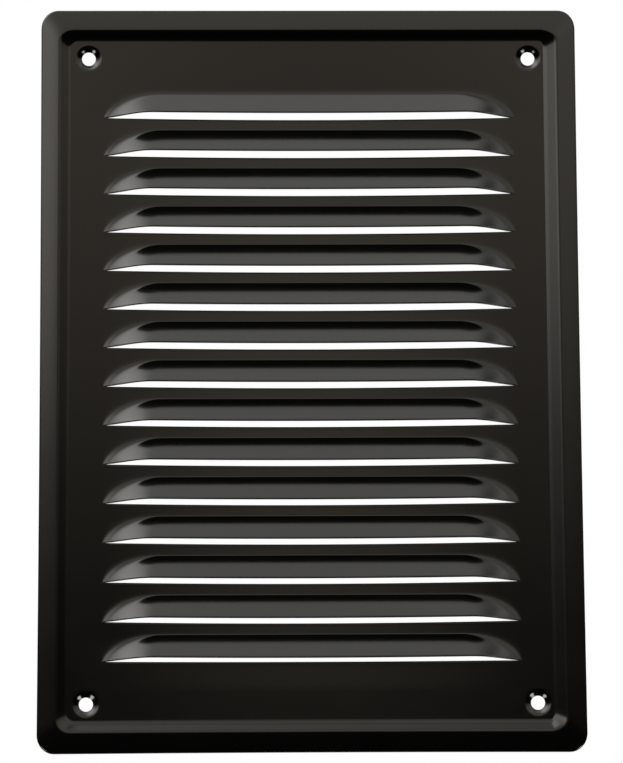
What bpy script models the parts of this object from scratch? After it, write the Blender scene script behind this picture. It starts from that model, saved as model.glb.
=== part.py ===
"""Louvred air grille, at real size in metres with +Z up.

The grille is one pressed steel sheet. Its front faces -Y and the wall is the plane y = 0. The origin is the
centre of the grille on the wall plane. "Front" below is the distance of the sheet's front skin from the wall.
The right half of the front skin is built point by point, mirrored, and then given the sheet's thickness.
"""

import math

import bpy

# Outline
WIDTH = 0.180
HEIGHT = 0.250
SHEET = 0.0006
CORNER_RADIUS = 0.0057

# Fronts: distances of the front skin from the wall plane
PANEL_FRONT = 0.0019
CREST_FRONT = 0.0035
RIM_EDGE_FRONT = 0.0028

# Rim: a sloping frame round the recessed panel, and a skirt turned back to the wall
CREST_INSET = 0.0065
STEP_RUN = 0.0032
CREST_RADIUS = 0.0036
FOOT_RADIUS = 0.0019
BEND_RADIUS = 0.0005
CREST_EASE_SHARE = 0.15
CREST_EASE_DROP = 0.0002
CREST_EASE_RADIUS = 0.0033

# Louvres: hoods pushed forward above straight cuts, open at the bottom
LOUVRES = 15
PITCH = 0.013065
FIRST_CUT_Z = 0.08803
CUT_HALF_LENGTH = 0.0691
HOOD_HEIGHT = 0.00475
ROOT_RISE = 0.0090
LIP_RETREAT = 0.00132
LIP_TAPER = 0.0168
LIP_TAPER_POWER = 1.5
ROOT_TAPER = 0.0185
TIP_ROOT_SHARE = 0.12
ROOT_FILLET_SHARE = 0.12
LIP_SAG = 0.00053
STRIP_SAG = 0.00065
LAST_STRIP_SAG = 0.00025

# Screw holes: each in a round dimple pressed back to the wall
HOLE_X = 0.07405
HOLE_Z = 0.1087
HOLE_RADIUS = 0.00228
SEAT_RADIUS = 0.0030
DIMPLE_RADIUS = 0.0046
DIMPLE_WALL_SHARE = 0.6
BLOCK_HALF = 0.0048

# Mesh fineness
BLOCK_CELLS = 6
MIDDLE_COLUMNS = 3
TAPER_COLUMNS = 5

MIRROR_MERGE = 0.00001
SHARP_ANGLE = math.radians(40)


class Skin:
    """Points and faces of a surface. Faces run anticlockwise as seen from the front."""

    def __init__(self):
        self.points = []
        self.faces = []

    def point(self, x, front, z):
        self.points.append((x, -front, z))
        return len(self.points) - 1

    def band(self, upper, lower):
        """Quads between two rows of points that run from left to right."""
        for i in range(len(upper) - 1):
            self.faces.append((lower[i], lower[i + 1], upper[i + 1], upper[i]))


def louvre_columns():
    """The x of each column of points, from the middle to the end of the cuts."""
    straight = CUT_HALF_LENGTH - ROOT_TAPER
    middle = [straight * i / MIDDLE_COLUMNS for i in range(MIDDLE_COLUMNS)]
    shares = [1 - (1 - i / TAPER_COLUMNS) ** 2 for i in range(TAPER_COLUMNS + 1)]
    return middle + [straight + ROOT_TAPER * share for share in shares]


def from_end(x, reach):
    """How far x is from the end of the cut, as a share of reach: 0 at the end and at most 1."""
    return min(max((CUT_HALF_LENGTH - x) / reach, 0.0), 1.0)


def lip_share(x):
    """The height of the lip at x as a share of HOOD_HEIGHT."""
    return math.sin(math.pi / 2 * from_end(x, LIP_TAPER)) ** LIP_TAPER_POWER


def root_share(x):
    """The rise of the root above the cut at x as a share of ROOT_RISE: a quarter ellipse at the end."""
    rounded = math.sqrt(1 - (1 - from_end(x, ROOT_TAPER)) ** 2)
    return TIP_ROOT_SHARE + (1 - TIP_ROOT_SHARE) * rounded


def bow(x):
    """1 in the middle of a cut and 0 at its end: the shape in which lips and strips sag."""
    return 1 - (x / CUT_HALF_LENGTH) ** 2


def cut_z(louvre):
    return FIRST_CUT_Z - PITCH * louvre


def hood_rows(skin, columns, louvre, tip):
    """The root, fillet and lip rows of a hood. The lip row ends in the cut's tip."""
    rows = []
    for share in (0, ROOT_FILLET_SHARE, 1):
        row = []
        for x in columns:
            lip_z = LIP_RETREAT * lip_share(x) - LIP_SAG * bow(x)
            root_z = ROOT_RISE * root_share(x)
            rise = max(share - ROOT_FILLET_SHARE / 2, 0) / (1 - ROOT_FILLET_SHARE / 2)
            front = PANEL_FRONT + HOOD_HEIGHT * lip_share(x) * rise
            row.append((x, front, cut_z(louvre) + root_z + (lip_z - root_z) * share))
        rows.append(row)
    made = [[skin.point(*p) for p in row] for row in rows[:-1]]
    made.append([skin.point(*p) for p in rows[-1][:-1]] + [tip])
    return made


def strip_row(skin, columns, louvre, tip):
    """The upper edge of the flat strip below a cut."""
    sag = STRIP_SAG if louvre < LOUVRES - 1 else LAST_STRIP_SAG
    z = cut_z(louvre)
    return [skin.point(x, PANEL_FRONT, z - sag * bow(x)) for x in columns[:-1]] + [tip]


def block_lines(centre):
    """The grid lines of the square block that holds a dimple, along one axis."""
    return [centre + BLOCK_HALF * (2 * i / BLOCK_CELLS - 1) for i in range(BLOCK_CELLS + 1)]


def corner_stations(half_width, half_height, radius):
    """(x, z) from the top side, round the top right corner, to the right side, matching the block's lines."""
    half = BLOCK_CELLS // 2
    x_start = block_lines(HOLE_X)[0]
    z_start = block_lines(HOLE_Z)[0]
    top = []
    side = []
    for i in range(half):
        share = i / half
        top.append((x_start + (half_width - radius - x_start) * share, half_height))
        side.append((half_width, z_start + (half_height - radius - z_start) * share))
    arc = []
    for i in range(BLOCK_CELLS + 1):
        angle = math.pi / 2 * (1 - i / BLOCK_CELLS)
        x = half_width - radius + radius * math.cos(angle)
        z = half_height - radius + radius * math.sin(angle)
        arc.append((x, z))
    return top + arc + side[::-1]


def ring(skin, columns, inset, front, radius):
    """The right half of a rounded rectangle, from the top middle clockwise to the bottom middle."""
    half_width = WIDTH / 2 - inset
    half_height = HEIGHT / 2 - inset
    corner = corner_stations(half_width, half_height, radius)
    path = [(x, half_height) for x in columns]
    path += corner
    path += [(half_width, cut_z(louvre)) for louvre in range(LOUVRES)]
    path += [(x, -z) for x, z in reversed(corner)]
    path += [(x, -half_height) for x in reversed(columns)]
    return [skin.point(x, front, z) for x, z in path]


def rim_rings(skin, columns):
    """The rings of the rim, from the foot of the step outwards and back to the wall."""
    bend_front = RIM_EDGE_FRONT - BEND_RADIUS
    ease_inset = CREST_INSET + CREST_EASE_SHARE * STEP_RUN
    profile = (
        (CREST_INSET + STEP_RUN, PANEL_FRONT, FOOT_RADIUS),
        (ease_inset, CREST_FRONT - CREST_EASE_DROP, CREST_EASE_RADIUS),
        (CREST_INSET, CREST_FRONT, CREST_RADIUS),
        (BEND_RADIUS, RIM_EDGE_FRONT, CORNER_RADIUS - BEND_RADIUS),
        (0, bend_front, CORNER_RADIUS),
        (0, 0, CORNER_RADIUS),
    )
    rings = [ring(skin, columns, *line) for line in profile]
    for inner, outer in zip(rings, rings[1:]):
        skin.band(outer, inner)
    return rings[0]


def dimple(skin, z_sign):
    """A dimple with its screw hole in a square block. Returns the block's edge, anticlockwise from +X +Z."""
    edge = []
    for side in range(4):
        for i in range(BLOCK_CELLS):
            dx, dz = BLOCK_HALF * (1 - 2 * i / BLOCK_CELLS), BLOCK_HALF
            for _ in range(side):
                dx, dz = -dz, dx
            edge.append(skin.point(HOLE_X + dx, PANEL_FRONT, z_sign * HOLE_Z + dz))
    depth = PANEL_FRONT - SHEET
    wall_radius = (DIMPLE_RADIUS + SEAT_RADIUS) / 2
    flat_radius = (SEAT_RADIUS + HOLE_RADIUS) / 2
    profile = (
        (DIMPLE_RADIUS, 0),
        (wall_radius, DIMPLE_WALL_SHARE),
        (SEAT_RADIUS, 1),
        (flat_radius, 1),
        (HOLE_RADIUS, 1),
    )
    outer = edge + edge[:1]
    for radius, share in profile:
        inner = []
        for i in range(len(edge)):
            angle = math.pi / 4 + 2 * math.pi * i / len(edge)
            x = HOLE_X + radius * math.cos(angle)
            z = z_sign * HOLE_Z + radius * math.sin(angle)
            inner.append(skin.point(x, PANEL_FRONT - depth * share, z))
        inner.append(inner[0])
        skin.band(inner, outer)
        outer = inner
    return edge


def front_skin():
    """The right half of the sheet's front skin."""
    skin = Skin()
    columns = louvre_columns()
    foot = rim_rings(skin, columns)
    tips = [skin.point(CUT_HALF_LENGTH, PANEL_FRONT, cut_z(k)) for k in range(LOUVRES)]
    hoods = [hood_rows(skin, columns, k, tips[k]) for k in range(LOUVRES)]
    strips = [strip_row(skin, columns, k, tips[k]) for k in range(LOUVRES)]

    # The foot ring in its straight runs and its corners
    wide = len(columns)
    bend = 2 * BLOCK_CELLS + 1
    top = foot[:wide]
    top_corner = foot[wide : wide + bend]
    side = foot[wide + bend : wide + bend + LOUVRES]
    bottom_corner = foot[wide + bend + LOUVRES : -wide]
    bottom = foot[-wide:][::-1]

    # Hoods, the flat strips between them and the plain panel above and below
    skin.band(top, hoods[0][0])
    for hood in hoods:
        for upper, lower in zip(hood, hood[1:]):
            skin.band(upper, lower)
    for strip, hood in zip(strips, hoods[1:]):
        skin.band(strip, hood[0])
    skin.band(strips[-1], bottom)

    # Plain panel beside the louvres
    for k in range(1, LOUVRES):
        root, fillet = hoods[k][0][-1], hoods[k][1][-1]
        skin.faces.append((tips[k], side[k], side[k - 1], tips[k - 1], root, fillet))

    # Corner blocks with the plain panel round them
    n = BLOCK_CELLS
    edge = dimple(skin, 1)
    edge.append(edge[0])
    left_top, left_bottom, right_bottom = edge[n], edge[2 * n], edge[3 * n]
    skin.band(top_corner[: n + 1], edge[: n + 1][::-1])
    skin.band(top_corner[n:], edge[3 * n :][::-1])
    root, fillet = hoods[0][0][-1], hoods[0][1][-1]
    beside = edge[n + 1 : 2 * n][::-1]
    skin.faces.append((top[-1], root, left_bottom, *beside, left_top, top_corner[0]))
    under = edge[2 * n + 1 : 3 * n][::-1]
    skin.faces.append((root, fillet, tips[0], side[0], top_corner[-1], right_bottom, *under, left_bottom))

    edge = dimple(skin, -1)
    edge.append(edge[0])
    right_top, left_top, left_bottom = edge[0], edge[n], edge[2 * n]
    skin.band(edge[2 * n : 3 * n + 1], bottom_corner[n:][::-1])
    skin.band(edge[3 * n :], bottom_corner[: n + 1][::-1])
    beside = edge[n + 1 : 2 * n][::-1]
    skin.faces.append((bottom[-1], bottom_corner[-1], left_bottom, *beside, left_top, tips[-1]))
    over = edge[1:n][::-1]
    skin.faces.append((left_top, *over, right_top, bottom_corner[0], side[-1], tips[-1]))
    return skin


def satin_black_paint():
    material = bpy.data.materials.new("satin_black_paint")
    material.use_nodes = True
    shader = material.node_tree.nodes["Principled BSDF"]
    shader.inputs["Base Color"].default_value = (0.018, 0.017, 0.016, 1)
    shader.inputs["Roughness"].default_value = 0.32
    shader.inputs["Metallic"].default_value = 0
    return material


def louvred_plate():
    skin = front_skin()
    mesh = bpy.data.meshes.new("louvred_plate")
    mesh.from_pydata(skin.points, [], skin.faces)
    mesh.shade_smooth()
    mesh.set_sharp_from_angle(angle=SHARP_ANGLE)
    mesh.materials.append(satin_black_paint())
    plate = bpy.data.objects.new("louvred_plate", mesh)
    bpy.context.scene.collection.objects.link(plate)

    mirror = plate.modifiers.new("left half", "MIRROR")
    mirror.use_axis = (True, False, False)
    mirror.merge_threshold = MIRROR_MERGE

    sheet = plate.modifiers.new("sheet thickness", "SOLIDIFY")
    sheet.thickness = SHEET
    sheet.offset = -1
    sheet.use_even_offset = True
    sheet.use_rim = True
    return plate


def main():
    for old in list(bpy.data.objects):
        bpy.data.objects.remove(old)
    louvred_plate()


main()
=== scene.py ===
"""Looks of the louvred air grille: one pressed steel sheet, painted satin black.

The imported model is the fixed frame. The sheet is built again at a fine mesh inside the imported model's box, in
the row's own frame: metres, +Z up, the front facing -Y and the wall plane at y = 0. "Front" is a distance
from the wall. Only the right half of the front skin is laid out. It is then mirrored, made uneven, and given
its thickness.
"""

import math

import bmesh
import bpy
import numpy as np
from mathutils import Matrix, Vector, noise


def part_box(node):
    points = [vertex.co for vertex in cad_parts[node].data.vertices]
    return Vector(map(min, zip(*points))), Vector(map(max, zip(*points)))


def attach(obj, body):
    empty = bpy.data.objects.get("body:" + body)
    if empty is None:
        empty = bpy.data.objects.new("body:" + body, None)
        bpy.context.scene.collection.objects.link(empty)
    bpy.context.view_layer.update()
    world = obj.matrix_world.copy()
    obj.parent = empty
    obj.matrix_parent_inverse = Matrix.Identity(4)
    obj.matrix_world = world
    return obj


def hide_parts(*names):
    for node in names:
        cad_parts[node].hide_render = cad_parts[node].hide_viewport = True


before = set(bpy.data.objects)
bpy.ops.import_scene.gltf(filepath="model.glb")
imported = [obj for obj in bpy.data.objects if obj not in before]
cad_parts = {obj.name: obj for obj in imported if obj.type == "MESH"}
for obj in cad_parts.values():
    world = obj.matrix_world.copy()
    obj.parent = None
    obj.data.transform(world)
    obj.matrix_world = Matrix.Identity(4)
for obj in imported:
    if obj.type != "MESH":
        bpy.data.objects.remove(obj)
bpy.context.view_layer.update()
LOW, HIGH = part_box("louvred_plate")

# Outline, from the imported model
HALF_WIDTH = (HIGH.x - LOW.x) / 2
HALF_HEIGHT = (HIGH.z - LOW.z) / 2
SHEET = 0.0006
CORNER_RADIUS = 0.0057

# Fronts: distances of the front skin from the wall plane
PANEL_FRONT = 0.0019
CREST_FRONT = 0.0035
RIM_EDGE_FRONT = 0.0028

# Rim: a sloping frame round the recessed panel, and a skirt turned back to the wall
CREST_INSET = 0.0065
STEP_RUN = 0.0032
FOOT_INSET = CREST_INSET + STEP_RUN
CREST_RADIUS = 0.0050
FOOT_RADIUS = 0.0034
PANEL_CORNER_RADIUS = 0.0007
FOOT_BEND = 0.0045
CREST_BEND = 0.0024
EDGE_BEND = 0.0006
BEND_CELLS = 6
FOOT_REACH = 0.0012
SKIRT_FRONT = 0.00035

# Louvres: hoods pushed forward above straight cuts, open at the bottom
LOUVRES = 15
PITCH = 0.013065
FIRST_CUT_Z = 0.08803
CUT_HALF_LENGTH = 0.0691
HOOD_HEIGHT = 0.00475
ROOT_RISE = 0.0090
LIP_RETREAT = 0.00132
LIP_TAPER = 0.0168
LIP_TAPER_POWER = 1.5
ROOT_TAPER = 0.0185
LIP_SAG = 0.00053
STRIP_SAG = 0.00065
LAST_STRIP_SAG = 0.00025
STRIP_LEAN = 0.00011
FIRST_ROOT_BEND = 0.17
ROOT_BEND = 0.055
END_ROOT_BEND = 0.85
BEND_WIDENS_FROM = 0.050
BEND_POWER = 1.3
ROOT_BEND_ROWS = 6
SLOPE_ROWS = 6
STRIP_ROWS = 5

# Cut edges: how far they bulge past the flat skin, and how far in the supporting row lies
EDGE_BULGE = 0.00034
EDGE_SUPPORT = 0.00030
LEAST_SUPPORT = 0.3
EDGE_ROWS = 6
TIP_SHARE = 0.3
BORDER_WEAR = 0.6

# Screw holes: each in a round dimple pressed back to the wall
HOLE_X = 0.07405
HOLE_Z = 0.1087
HOLE_DROP = 0.00015
HOLE_ARRIS_RADIUS = 0.00240
HOLE_EDGE_BULGE = 0.00020
DIMPLE_RADIUS = 0.0046
DIMPLE_DEPTH = 0.00099
BOWL_SWEEP = 0.8
BOWL_DELAY = 1.2
BOWL_ROWS = 12
BLOCK_HALF = 0.0048
BLOCK_CELLS = 10

# Mesh fineness
STRAIGHT_COLUMNS = 10
TAPER_COLUMNS = 22
MARGIN_ROWS = 6

# How the pressing leaves the sheet uneven
WARP = 0.00003
WARP_LENGTH = 0.06
DISH = 0.0006
DISH_FLAT_Z = 0.088
SIDE_BOW = 0.00025
SIDE_BOW_POWER = 5
BOTTOM_BOW_POWER = 9

# How far each side of the rim lies off its place, to the right or up: at its edge, crest and foot, and inside
SHIFT_INSETS = (0.0, CREST_INSET, FOOT_INSET, 0.0115)
LEFT_SHIFT = (0.0, -0.0001, -0.0005, 0.0)
RIGHT_SHIFT = (0.0, 0.0, -0.0007, 0.0)
TOP_SHIFT = (0.0, -0.0008, 0.0001, 0.0)
BOTTOM_SHIFT = (0.0, 0.0005, 0.0002, 0.0)

# Satin black paint
DEEP_BLACK = (0.0011, 0.0010, 0.0009, 1)
SOFT_BLACK = (0.0019, 0.0018, 0.0016, 1)
CLOUD_SCALE = 45.0
SOFT_CLOUDS = (0.3, 0.72)
WORN_PAINT = (0.008, 0.0077, 0.0074, 1)
MOST_WEAR = 0.35
ROUGHNESS = (0.138, 0.154)
ROUGH_CLOUDS = (0.25, 0.75)
GRAIN_SCALE = 5000.0
GRAIN_ROUGHNESS = 0.02
PEEL_SCALE = 750.0
PEEL_SHARE = 0.6
BUMP_DISTANCE = 0.0000045
PAINT_IOR = 1.5

# The wall of light before the grille: elevation in degrees, and colour
WALL_LIGHT = (
    (5.0, (0.015, 0.014, 0.012)),
    (6.3, (0.08, 0.07, 0.056)),
    (9.0, (0.35, 0.31, 0.25)),
    (13.8, (0.77, 0.69, 0.565)),
    (27.0, (1.0, 0.97, 0.83)),
    (45.0, (1.0, 0.99, 0.93)),
    (60.0, (0.0, 0.0, 0.0)),
)
DARK_FLOOR = (0.012, 0.012, 0.012, 1)

# The wall's light stands higher at the sides, and fades out between two y of the direction, beside the grille
SIDE_DROP = 0.04
WALL_ENDS = (-0.2, 0.3)

# Round lights: azimuth and elevation of the middle and radii of full light and of none, in degrees; strength.
# The lamps are cut off softly at the horizon, between two elevations in degrees, and the fills aren't.
LAMPS = (
    (-120, 76, 26, 51, 1.6),
    (-55, 46, 5, 33, 2.5),
    (-22, 17, 4, 14, 1.75),
    (-40, 18, 6, 12, 1.1),
    (18, 15, 5, 12, 0.3),
    (46, 50, 4, 18, 0.5),
)
FILLS = (
    (180, 25, 10, 80, 0.38),
    (-54, -38, 5, 13, 11.0),
    (54, -38, 5, 13, 11.0),
)
HORIZON = (8.5, 10.8)
LAMP_COLOUR = (1.0, 0.985, 0.95, 1)

# The pale surroundings
BACKDROP_RADIUS = 5.0
BACKDROP_COLOUR = (1, 1, 1, 1)
FLOOR_HALF = 4.0
FLOOR_Z = -0.36
FLOOR_COLOUR = (0.8, 0.8, 0.79, 1)
FLOOR_ROUGHNESS = 0.9

# Camera: a long lens a little below the grille and to its left
LENS = 170.2
CAMERA_PLACE = (-0.0235, -1.1824, -0.2031)
CAMERA_TARGET = (0.0004, 0, -0.0017)
CAMERA_ROLL = -0.3375


class Skin:
    """Points and faces of a surface. Faces run anticlockwise as seen from the front."""

    def __init__(self):
        self.points = []
        self.faces = []

    def point(self, x, front, z):
        self.points.append((x, -front, z))
        return len(self.points) - 1

    def band(self, upper, lower):
        """Quads between two rows of points that run from left to right."""
        for i in range(len(upper) - 1):
            corners = [lower[i], lower[i + 1], upper[i + 1], upper[i]]
            face = [c for j, c in enumerate(corners) if c != corners[j - 1]]
            if len(face) > 2:
                self.faces.append(tuple(face))


def louvre_columns():
    """The x of each column of points, from the middle to the end of the cuts, closer near the end."""
    straight = CUT_HALF_LENGTH - ROOT_TAPER
    middle = [straight * i / STRAIGHT_COLUMNS for i in range(STRAIGHT_COLUMNS)]
    shares = [1 - (1 - i / TAPER_COLUMNS) ** 2 for i in range(TAPER_COLUMNS + 1)]
    return middle + [straight + ROOT_TAPER * share for share in shares]


def from_end(x, reach):
    """How far x is from the end of the cut, as a share of reach: 0 at the end and at most 1."""
    return min(max((CUT_HALF_LENGTH - x) / reach, 0.0), 1.0)


def lip_share(x):
    """The height of the lip at x as a share of HOOD_HEIGHT."""
    return math.sin(math.pi / 2 * from_end(x, LIP_TAPER)) ** LIP_TAPER_POWER


def root_share(x):
    """The rise of the hood's root above the cut at x, as a share of ROOT_RISE: a quarter ellipse."""
    return math.sqrt(1 - (1 - from_end(x, ROOT_TAPER)) ** 2)


def root_bend(x, louvre):
    """The part of a hood's slope at x that its bend at the root takes."""
    middle = FIRST_ROOT_BEND if louvre == 0 else ROOT_BEND
    share = max(x - BEND_WIDENS_FROM, 0.0) / (CUT_HALF_LENGTH - BEND_WIDENS_FROM)
    return middle + (END_ROOT_BEND - middle) * share**BEND_POWER


def bow(x):
    """1 in the middle of a cut and 0 at its end: the shape in which lips and strips sag."""
    return max(1 - (x / CUT_HALF_LENGTH) ** 2, 0.0)


def cut_z(louvre):
    return FIRST_CUT_Z - PITCH * louvre


def root_z(x, louvre):
    """The height of the hood's root at x, and of its cut beyond the cut's end."""
    return cut_z(louvre) + ROOT_RISE * root_share(x)


def strip_edge(x, louvre):
    """The upper edge of the strip below a cut, as (front, z)."""
    sag = STRIP_SAG if louvre < LOUVRES - 1 else LAST_STRIP_SAG
    return PANEL_FRONT - STRIP_LEAN * bow(x), cut_z(louvre) - sag * bow(x)


def lip_edge(x, louvre):
    front = PANEL_FRONT + HOOD_HEIGHT * lip_share(x)
    return front, cut_z(louvre) + LIP_RETREAT * lip_share(x) - LIP_SAG * bow(x)


def bulge(x, louvre):
    """How far the cut edges at x bulge into the slit."""
    strip_front, strip_z = strip_edge(x, louvre)
    lip_front, lip_z = lip_edge(x, louvre)
    gap = math.hypot(lip_front - strip_front, lip_z - strip_z)
    return min(EDGE_BULGE, TIP_SHARE * gap)


def support_reach(inset):
    """How far inside a cut edge its supporting row lies, where the edge bulges by inset."""
    return EDGE_SUPPORT * (LEAST_SUPPORT + (1 - LEAST_SUPPORT) * inset / EDGE_BULGE)


def hood_profile(x, louvre):
    """(front, z) down the hood at x, from its root to its lip."""
    lip_front, lip_z = lip_edge(x, louvre)
    root = root_z(x, louvre)
    run = root - lip_z
    rise = lip_front - PANEL_FRONT
    length = math.hypot(run, rise)
    bend = root_bend(x, louvre)
    steepest = rise / (1 - bend / 2)
    inset = bulge(x, louvre)
    last = 1 - inset / length
    support = last - min(support_reach(inset) / length, (last - bend) / 2)
    shares = [bend * i / ROOT_BEND_ROWS for i in range(ROOT_BEND_ROWS)]
    shares += [bend + (support - bend) * i / SLOPE_ROWS for i in range(SLOPE_ROWS + 1)] + [last]
    profile = []
    for share in shares:
        if share < bend:
            height = steepest * share * share / (2 * bend)
        else:
            height = steepest * (share - bend / 2)
        profile.append((PANEL_FRONT + height, root - run * share))
    return profile


def hood_rows(skin, columns, louvre, tip):
    """The rows of a hood. All end in the cut's tip, and the first runs on across the plain panel."""
    profiles = [hood_profile(x, louvre) for x in columns[:-1]]
    rows = []
    for i in range(len(profiles[0])):
        row = [skin.point(x, *profile[i]) for x, profile in zip(columns, profiles)]
        rows.append(row + tip[:1])
    rows[0] += tip[1:]
    return rows


def strip_rows(skin, columns, louvre, side_columns, tip, panel_foot):
    """The rows of the strip below a cut, down to the next root or, below the last cut, to panel_foot."""
    edge = []
    support = []
    for x in columns[:-1]:
        front, z = strip_edge(x, louvre)
        inset = bulge(x, louvre)
        edge.append(skin.point(x, front, z - inset))
        support.append((x, front, z - inset - support_reach(inset)))
    rows = [edge + tip]
    end_z = cut_z(louvre) - support_reach(0.0)
    support += [(x, PANEL_FRONT, end_z) for x in columns[-1:] + side_columns]
    for i in range(STRIP_ROWS):
        row = []
        share = i / STRIP_ROWS
        for x, front, z in support:
            low_z = root_z(x, louvre + 1) if louvre < LOUVRES - 1 else panel_foot
            strip_front = front + (PANEL_FRONT - front) * share
            row.append(skin.point(x, strip_front, z + (low_z - z) * share))
        rows.append(row)
    return rows


def block_lines(centre):
    """The grid lines of the square block that holds a dimple, along one axis."""
    return [centre + BLOCK_HALF * (2 * i / BLOCK_CELLS - 1) for i in range(BLOCK_CELLS + 1)]


def rounded(profile, bends):
    """The profile with each inner corner replaced by an arc of the radius given for it."""
    made = [profile[0]]
    for i, radius in enumerate(bends, start=1):
        before, corner, after = (Vector(p) for p in profile[i - 1 : i + 2])
        to_before = (before - corner).normalized()
        to_after = (after - corner).normalized()
        half = to_before.angle(to_after) / 2
        reach = radius / math.tan(half)
        middle = corner + (to_before + to_after).normalized() * radius / math.sin(half)
        start = corner + to_before * reach - middle
        turn = start.angle_signed(corner + to_after * reach - middle)
        for step in range(BEND_CELLS + 1):
            arm = Matrix.Rotation(-turn * step / BEND_CELLS, 2) @ start
            made.append(tuple(middle + arm))
    made.append(profile[-1])
    return made


def corner_stations(half_width, half_height, radius):
    """(x, z) from the top side round the top right corner to the right side, matching the block's lines."""
    half = BLOCK_CELLS // 2
    x_start = block_lines(HOLE_X)[0]
    z_start = block_lines(HOLE_Z)[0]
    top = []
    side = []
    for i in range(half):
        share = i / half
        top.append((x_start + (half_width - radius - x_start) * share, half_height))
        side.append((half_width, z_start + (half_height - radius - z_start) * share))
    arc = []
    for i in range(BLOCK_CELLS + 1):
        angle = math.pi / 2 * (1 - i / BLOCK_CELLS)
        x = half_width - radius + radius * math.cos(angle)
        z = half_height - radius + radius * math.sin(angle)
        arc.append((x, z))
    return top + arc + side[::-1]


def corner_radius(inset):
    """The radius of the corners of the ring that lies this far inside the outline."""
    insets = (0.0, CREST_INSET, FOOT_INSET, FOOT_INSET + FOOT_REACH)
    radii = (CORNER_RADIUS, CREST_RADIUS, FOOT_RADIUS, PANEL_CORNER_RADIUS)
    return float(np.interp(inset, insets, radii))


def ring(skin, columns, heights, inset, front):
    """The right half of a rounded rectangle, from the top middle clockwise to the bottom middle."""
    half_width = HALF_WIDTH - inset
    half_height = HALF_HEIGHT - inset
    corner = corner_stations(half_width, half_height, corner_radius(inset))
    path = [(x, half_height) for x in columns]
    path += corner
    path += [(half_width, z) for z in heights]
    path += [(x, -z) for x, z in reversed(corner)]
    path += [(x, -half_height) for x in reversed(columns)]
    return [skin.point(x, front, z) for x, z in path]


def rim_rings(skin, columns, heights):
    """The rings of the rim, from the panel outwards and back to the wall. Returns the innermost."""
    corners = [
        (FOOT_INSET + FOOT_REACH, PANEL_FRONT),
        (FOOT_INSET, PANEL_FRONT),
        (CREST_INSET, CREST_FRONT),
        (0.0, RIM_EDGE_FRONT),
        (0.0, SKIRT_FRONT),
    ]
    profile = rounded(corners, (FOOT_BEND, CREST_BEND, EDGE_BEND))
    profile.insert(-1, (0.0, SKIRT_FRONT + EDGE_SUPPORT))
    rings = [ring(skin, columns, heights, *line) for line in profile]
    for inner, outer in zip(rings, rings[1:]):
        skin.band(outer, inner)
    return rings[0]


def dimple_profile():
    """(radius, front) down the bowl from the panel to the front arris of the hole."""
    whole_fall = 1 - math.cos(math.pi * BOWL_SWEEP)
    profile = []
    for i in range(BOWL_ROWS + 1):
        share = i / BOWL_ROWS
        fall = (1 - math.cos(math.pi * BOWL_SWEEP * share**BOWL_DELAY)) / whole_fall
        radius = DIMPLE_RADIUS + (HOLE_ARRIS_RADIUS - DIMPLE_RADIUS) * share
        profile.append((radius, PANEL_FRONT - DIMPLE_DEPTH * fall))
    return profile


def dimple(skin, z_sign, edge):
    """The rings of a dimple with its screw hole, inside the square block's edge."""
    outer = edge + edge[:1]
    for radius, front in dimple_profile():
        inner = []
        for i in range(len(edge)):
            angle = math.pi / 4 + 2 * math.pi * i / len(edge)
            x = HOLE_X + radius * math.cos(angle)
            z = z_sign * HOLE_Z - HOLE_DROP + radius * math.sin(angle)
            inner.append(skin.point(x, front, z))
        inner.append(inner[0])
        skin.band(inner, outer)
        outer = inner


def block_edge(rows, first):
    """The points round a block, anticlockwise from its top right, out of the rows that cross it."""
    top, bottom = rows[0], rows[-1]
    last = first + BLOCK_CELLS
    edge = [top[i] for i in range(last, first, -1)]
    edge += [row[first] for row in rows[:-1]]
    edge += [bottom[i] for i in range(first, last)]
    edge += [row[last] for row in rows[:0:-1]]
    return edge


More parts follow.
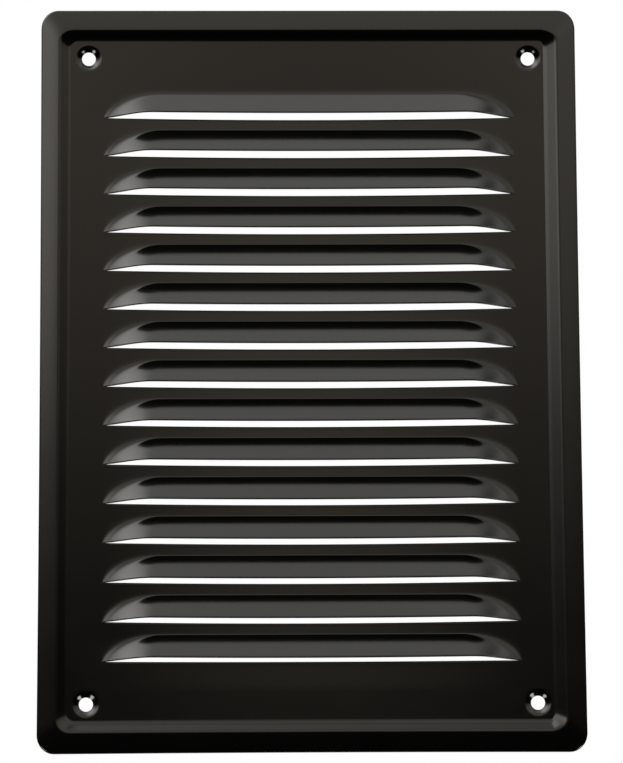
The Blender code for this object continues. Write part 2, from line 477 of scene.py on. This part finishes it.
def front_skin():
    """The right half of the sheet's front skin."""
    skin = Skin()
    columns = louvre_columns()
    side_columns = block_lines(HOLE_X)
    all_columns = columns + side_columns
    first = len(columns)

    # Plain rows above the louvres, from the top of the block down
    block_z = block_lines(HOLE_Z)[::-1]
    block_rows = [[skin.point(x, PANEL_FRONT, z) for x in all_columns] for z in block_z]
    margin_rows = []
    for i in range(1, MARGIN_ROWS):
        share = i / MARGIN_ROWS
        heights = [block_z[-1] + (root_z(x, 0) - block_z[-1]) * share for x in all_columns]
        margin_rows.append([skin.point(x, PANEL_FRONT, z) for x, z in zip(all_columns, heights)])
    groups = [block_rows + margin_rows]

    # Louvres and the strips below them
    for louvre in range(LOUVRES):
        tip = [skin.point(x, PANEL_FRONT, cut_z(louvre)) for x in all_columns[first - 1 :]]
        groups[-1] += hood_rows(skin, columns, louvre, tip)
        groups.append(strip_rows(skin, columns, louvre, side_columns, tip, -block_z[-1]))

    # Plain rows below the louvres
    low_rows = [[skin.point(x, PANEL_FRONT, -z) for x in all_columns] for z in block_z[::-1]]
    groups[-1] += low_rows

    for rows in groups:
        for upper, lower in zip(rows, rows[1:]):
            in_block = any(upper in block and lower in block for block in (block_rows, low_rows))
            end = first + 1 if in_block else min(len(upper), len(lower))
            skin.band(upper[:end], lower[:end])
    dimple(skin, 1, block_edge(block_rows, first))
    dimple(skin, -1, block_edge(low_rows, first))

    # The rim, joined to the panel's last row and column
    full = [row for rows in groups for row in rows if len(row) == len(all_columns)]
    inner_side = list(dict.fromkeys(row[-1] for row in full))
    middle = inner_side[BLOCK_CELLS + 1 : -BLOCK_CELLS - 1]
    foot = rim_rings(skin, columns, [skin.points[i][2] for i in middle])
    bend = 2 * BLOCK_CELLS + 1
    top = foot[:first]
    top_corner = foot[first : first + bend]
    side = foot[first + bend : -first - bend]
    bottom_corner = foot[-first - bend : -first]
    bottom = foot[-first:]
    skin.band(top + top_corner[:1], block_rows[0][: first + 1])
    around = block_rows[0][first:] + [row[-1] for row in block_rows[1:]]
    skin.band(top_corner, around)
    side = [top_corner[-1]] + side + [bottom_corner[0]]
    skin.band(side, [around[-1]] + middle + [low_rows[0][-1]])
    around = [row[-1] for row in low_rows] + low_rows[-1][first:-1][::-1]
    skin.band(bottom_corner, around)
    skin.band(bottom_corner[-1:] + bottom, low_rows[-1][: first + 1][::-1])
    return skin


def whole(skin):
    """Points and faces of the whole front skin, from its right half. Points in the middle are shared."""
    points = np.array(skin.points)
    left = np.arange(len(points)) + len(points)
    in_middle = np.isclose(points[:, 0], 0)
    left[in_middle] = np.flatnonzero(in_middle)
    faces = list(skin.faces) + [tuple(int(left[i]) for i in face[::-1]) for face in skin.faces]
    points = np.concatenate([points, points * (-1, 1, 1)])
    used = sorted({i for face in faces for i in face})
    place = {old: new for new, old in enumerate(used)}
    return points[used], [tuple(place[i] for i in face) for face in faces]


def warp(points):
    """The unevenness of a pressed sheet: a shallow dish, bowed sides, an uneven rim and slight waves."""
    for point in points:
        x, z = point[0], point[2]
        across = Vector((x, 0, z)) / WARP_LENGTH
        rise = min(-point[1] / PANEL_FRONT, 1.0)
        level = np.interp(abs(z), (DISH_FLAT_Z, HALF_HEIGHT - FOOT_INSET), (1.0, 0.0))
        dish = level * max(1 - (x / (HALF_WIDTH - FOOT_INSET)) ** 2, 0.0)
        point[1] += WARP * rise * noise.noise(across) + DISH * dish
        point[0] += np.interp(HALF_WIDTH - abs(x), SHIFT_INSETS, RIGHT_SHIFT if x > 0 else LEFT_SHIFT)
        point[2] += np.interp(HALF_HEIGHT - abs(z), SHIFT_INSETS, TOP_SHIFT if z > 0 else BOTTOM_SHIFT)
        point[0] -= SIDE_BOW * (x / HALF_WIDTH) ** SIDE_BOW_POWER * (1 - (z / HALF_HEIGHT) ** 2)
        if z < 0:
            point[2] -= SIDE_BOW * (z / HALF_HEIGHT) ** BOTTOM_BOW_POWER * (1 - (x / HALF_WIDTH) ** 2)


def vertex_normals(points, faces):
    """The unit normal of each point: the mean of its faces' normals, weighted by their areas."""
    normals = np.zeros_like(points)
    for face in faces:
        normal = np.cross(points[face[2]] - points[face[0]], points[face[-1]] - points[face[1]])
        for i in face:
            normals[i] += normal
    return normals / np.linalg.norm(normals, axis=1, keepdims=True)


def edge_reach(point):
    """How far a cut edge bulges at a point of its rim: less and less near the tips of the slits."""
    x, z = abs(point[0]), point[2]
    if math.hypot(x - HOLE_X, abs(z) - HOLE_Z) < DIMPLE_RADIUS:
        return HOLE_EDGE_BULGE
    if x > CUT_HALF_LENGTH or abs(z) > HOLE_Z:
        return EDGE_BULGE
    return bulge(x, round((FIRST_CUT_Z - z) / PITCH))


def open_edges_of(faces):
    """The edges that only one face has, each in that face's direction."""
    open_edges = set()
    for face in faces:
        for a, b in zip(face, face[1:] + face[:1]):
            if (b, a) in open_edges:
                open_edges.remove((b, a))
            else:
                open_edges.add((a, b))
    return sorted(open_edges)


def thickened(points, faces):
    """The closed sheet, with round cut edges: its points, its faces and the paint's wear at each point."""
    count = len(points)
    normals = vertex_normals(points, faces)
    back = points - normals * SHEET
    back[:, 1] = np.minimum(back[:, 1], -SKIRT_FRONT)
    open_edges = open_edges_of(faces)
    outward = np.zeros_like(points)
    for a, b in open_edges:
        away = np.cross(points[b] - points[a], normals[a] + normals[b])
        away /= np.linalg.norm(away)
        outward[a] += away
        outward[b] += away
    border = sorted({i for edge in open_edges for i in edge})
    outward[border] /= np.linalg.norm(outward[border], axis=1, keepdims=True)

    made = [points, back]
    rows = {i: [i] for i in border}
    total = 2 * count
    for step in range(1, EDGE_ROWS):
        angle = math.pi * step / EDGE_ROWS
        down = (1 - math.cos(angle)) / 2
        layer = []
        for i in border:
            reach = edge_reach(points[i]) * math.sin(angle)
            layer.append(points[i] - normals[i] * SHEET * down + outward[i] * reach)
            rows[i].append(total)
            total += 1
        made.append(np.array(layer))
    for i in border:
        rows[i].append(i + count)
    every = list(faces) + [tuple(i + count for i in face[::-1]) for face in faces]
    for a, b in open_edges:
        for i in range(EDGE_ROWS):
            every.append((rows[b][i], rows[a][i], rows[a][i + 1], rows[b][i + 1]))
    wear = np.zeros(total)
    wear[2 * count :] = 1
    wear[border] = BORDER_WEAR
    return np.concatenate(made), every, wear


def pressed_sheet():
    """The whole sheet as one smooth object, with the wear of its paint as the attribute "edge"."""
    points, faces = whole(front_skin())
    warp(points)
    points, faces, wear = thickened(points, faces)
    mesh = bpy.data.meshes.new("pressed_sheet")
    mesh.from_pydata([tuple(p) for p in points], [], faces)
    mesh.shade_smooth()
    mesh.attributes.new("edge", "FLOAT", "POINT").data.foreach_set("value", wear)
    sheet = bpy.data.objects.new("pressed_sheet", mesh)
    bpy.context.scene.collection.objects.link(sheet)
    return sheet


class Nodes:
    """Short forms for adding nodes to a tree and linking them."""

    def __init__(self, tree):
        self.tree = tree

    def add(self, kind, inputs=(), **settings):
        node = self.tree.nodes.new(kind)
        for name, value in settings.items():
            setattr(node, name, value)
        for name, value in dict(inputs).items():
            if isinstance(value, bpy.types.NodeSocket):
                self.tree.links.new(value, node.inputs[name])
            else:
                node.inputs[name].default_value = value
        return node

    def math(self, operation, *values):
        return self.add("ShaderNodeMath", dict(enumerate(values)), operation=operation).outputs[0]

    def spread(self, value, ends, made, kind="LINEAR"):
        """The first of made at the first of ends, the second at the second, and a run between them."""
        inputs = {"Value": value, 1: ends[0], 2: ends[1], 3: made[0], 4: made[1]}
        return self.add("ShaderNodeMapRange", inputs, interpolation_type=kind).outputs[0]

    def noise(self, vector, scale, detail, roughness):
        inputs = {"Vector": vector, "Scale": scale, "Detail": detail, "Roughness": roughness}
        return self.add("ShaderNodeTexNoise", inputs).outputs["Fac"]


def satin_black_paint():
    """Satin black powder paint: faint orange peel and grain, soft clouds, and a little wear on cut edges."""
    material = bpy.data.materials.new("satin_black_paint")
    material.use_nodes = True
    nodes = Nodes(material.node_tree)
    shader = material.node_tree.nodes["Principled BSDF"]
    link = material.node_tree.links.new
    place = nodes.add("ShaderNodeTexCoord").outputs["Object"]
    clouds = nodes.noise(place, CLOUD_SCALE, 3.0, 0.55)
    grain = nodes.noise(place, GRAIN_SCALE, 1.0, 0.5)
    peel = nodes.noise(place, PEEL_SCALE, 2.0, 0.45)
    edge = nodes.add("ShaderNodeAttribute", attribute_name="edge").outputs["Fac"]

    tint = nodes.add("ShaderNodeValToRGB", {"Fac": clouds})
    for stop, position, colour in zip(tint.color_ramp.elements, SOFT_CLOUDS, (DEEP_BLACK, SOFT_BLACK)):
        stop.position = position
        stop.color = colour
    wear = nodes.math("MULTIPLY", edge, MOST_WEAR)
    colours = {"Factor": wear, 6: tint.outputs["Color"], 7: WORN_PAINT}
    link(nodes.add("ShaderNodeMix", colours, data_type="RGBA").outputs[2], shader.inputs["Base Color"])

    rough = nodes.spread(clouds, ROUGH_CLOUDS, ROUGHNESS)
    speckle = nodes.math("SUBTRACT", grain, 0.5)
    rough = nodes.math("MULTIPLY_ADD", speckle, GRAIN_ROUGHNESS, rough)
    link(rough, shader.inputs["Roughness"])

    height = nodes.math("MULTIPLY_ADD", peel, PEEL_SHARE, grain)
    bump = nodes.add("ShaderNodeBump", {"Height": height, "Strength": 1.0, "Distance": BUMP_DISTANCE})
    link(bump.outputs["Normal"], shader.inputs["Normal"])
    shader.inputs["IOR"].default_value = PAINT_IOR
    return material


def direction(azimuth, elevation):
    """The unit vector at these angles, in degrees, to the right of straight out of the front, and up."""
    a, e = math.radians(azimuth), math.radians(elevation)
    return (math.sin(a) * math.cos(e), -math.cos(a) * math.cos(e), math.sin(e))


def soft_patch(nodes, towards, azimuth, elevation, inner, outer, strength):
    """A round patch of light with a soft edge between two angles, in degrees, from its middle."""
    vectors = {0: towards, 1: direction(azimuth, elevation)}
    dot = nodes.add("ShaderNodeVectorMath", vectors, operation="DOT_PRODUCT").outputs["Value"]
    ends = (math.cos(math.radians(outer)), math.cos(math.radians(inner)))
    return nodes.spread(dot, ends, (0.0, strength), "SMOOTHSTEP")


def studio_world():
    """Soft studio light: a warm wall of light before the grille, dark below, and round lamps and fills."""
    world = bpy.data.worlds.new("studio")
    bpy.context.scene.world = world
    world.use_nodes = True
    tree = world.node_tree
    nodes = Nodes(tree)
    towards = nodes.add("ShaderNodeTexCoord").outputs["Generated"]
    axes = nodes.add("ShaderNodeSeparateXYZ", {"Vector": towards}).outputs

    aside = nodes.math("MULTIPLY", axes["X"], axes["X"])
    height = nodes.math("MULTIPLY_ADD", aside, -SIDE_DROP, axes["Z"])
    wall = nodes.add("ShaderNodeValToRGB", {"Fac": height})
    ramp = wall.color_ramp
    ramp.elements.remove(ramp.elements[1])
    ramp.elements[0].position = 0.0
    ramp.elements[0].color = DARK_FLOOR
    for elevation, light in WALL_LIGHT:
        stop = ramp.elements.new(math.sin(math.radians(elevation)))
        stop.color = (*light, 1)
    wall_light = tree.nodes["Background"]
    tree.links.new(wall.outputs["Color"], wall_light.inputs["Color"])
    before = nodes.spread(axes["Y"], WALL_ENDS, (1.0, 0.0), "SMOOTHSTEP")
    tree.links.new(before, wall_light.inputs["Strength"])

    total = 0.0
    for lamp in LAMPS:
        total = nodes.math("ADD", total, soft_patch(nodes, towards, *lamp))
    horizon = [math.sin(math.radians(elevation)) for elevation in HORIZON]
    total = nodes.math("MULTIPLY", total, nodes.spread(axes["Z"], horizon, (0.0, 1.0), "SMOOTHSTEP"))
    for fill in FILLS:
        total = nodes.math("ADD", total, soft_patch(nodes, towards, *fill))
    lamps = nodes.add("ShaderNodeBackground", {"Color": LAMP_COLOUR, "Strength": total})
    both = nodes.add("ShaderNodeAddShader", {0: wall_light.outputs[0], 1: lamps.outputs[0]})
    tree.links.new(both.outputs[0], tree.nodes["World Output"].inputs["Surface"])


def staged(name, shape):
    """An object of this name from the bmesh shape, with a new material of the same name."""
    mesh = bpy.data.meshes.new(name)
    shape.to_mesh(mesh)
    shape.free()
    material = bpy.data.materials.new(name)
    material.use_nodes = True
    mesh.materials.append(material)
    made = bpy.data.objects.new(name, mesh)
    bpy.context.scene.collection.objects.link(made)
    return made, material.node_tree


def pale_backdrop():
    """A pale dome round the scene that only the camera sees."""
    shape = bmesh.new()
    bmesh.ops.create_uvsphere(shape, u_segments=32, v_segments=16, radius=BACKDROP_RADIUS)
    dome, tree = staged("backdrop", shape)
    tree.nodes.clear()
    nodes = Nodes(tree)
    glow = nodes.add("ShaderNodeEmission", {"Color": BACKDROP_COLOUR, "Strength": 1.0})
    nodes.add("ShaderNodeOutputMaterial", {"Surface": glow.outputs[0]})
    for ray in ("diffuse", "glossy", "transmission", "shadow", "volume_scatter"):
        setattr(dome, "visible_" + ray, False)
    return dome


def pale_floor():
    """A pale floor well below the grille. The paint doesn't reflect it."""
    shape = bmesh.new()
    place = Matrix.Translation((0, 0, FLOOR_Z))
    bmesh.ops.create_grid(shape, x_segments=1, y_segments=1, size=FLOOR_HALF, matrix=place)
    floor, tree = staged("floor", shape)
    shader = tree.nodes["Principled BSDF"]
    shader.inputs["Base Color"].default_value = FLOOR_COLOUR
    shader.inputs["Roughness"].default_value = FLOOR_ROUGHNESS
    floor.visible_glossy = False
    floor.visible_diffuse = False
    return floor


def studio_camera():
    """The camera, aimed at its target and then rolled by a slight angle."""
    data = bpy.data.cameras.new("camera")
    data.sensor_width = 36
    data.lens = LENS
    camera = bpy.data.objects.new("camera", data)
    bpy.context.scene.collection.objects.link(camera)
    camera.location = CAMERA_PLACE
    aim = (Vector(CAMERA_TARGET) - camera.location).to_track_quat("-Z", "Y")
    roll = Matrix.Rotation(math.radians(CAMERA_ROLL), 3, "Z").to_quaternion()
    camera.rotation_mode = "QUATERNION"
    camera.rotation_quaternion = aim @ roll
    bpy.context.scene.camera = camera


def main():
    studio_camera()
    sheet = pressed_sheet()
    sheet.data.materials.append(satin_black_paint())
    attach(sheet, "root")
    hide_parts("louvred_plate")
    studio_world()
    pale_backdrop()
    pale_floor()
    bpy.context.scene.view_settings.view_transform = "Standard"


main()
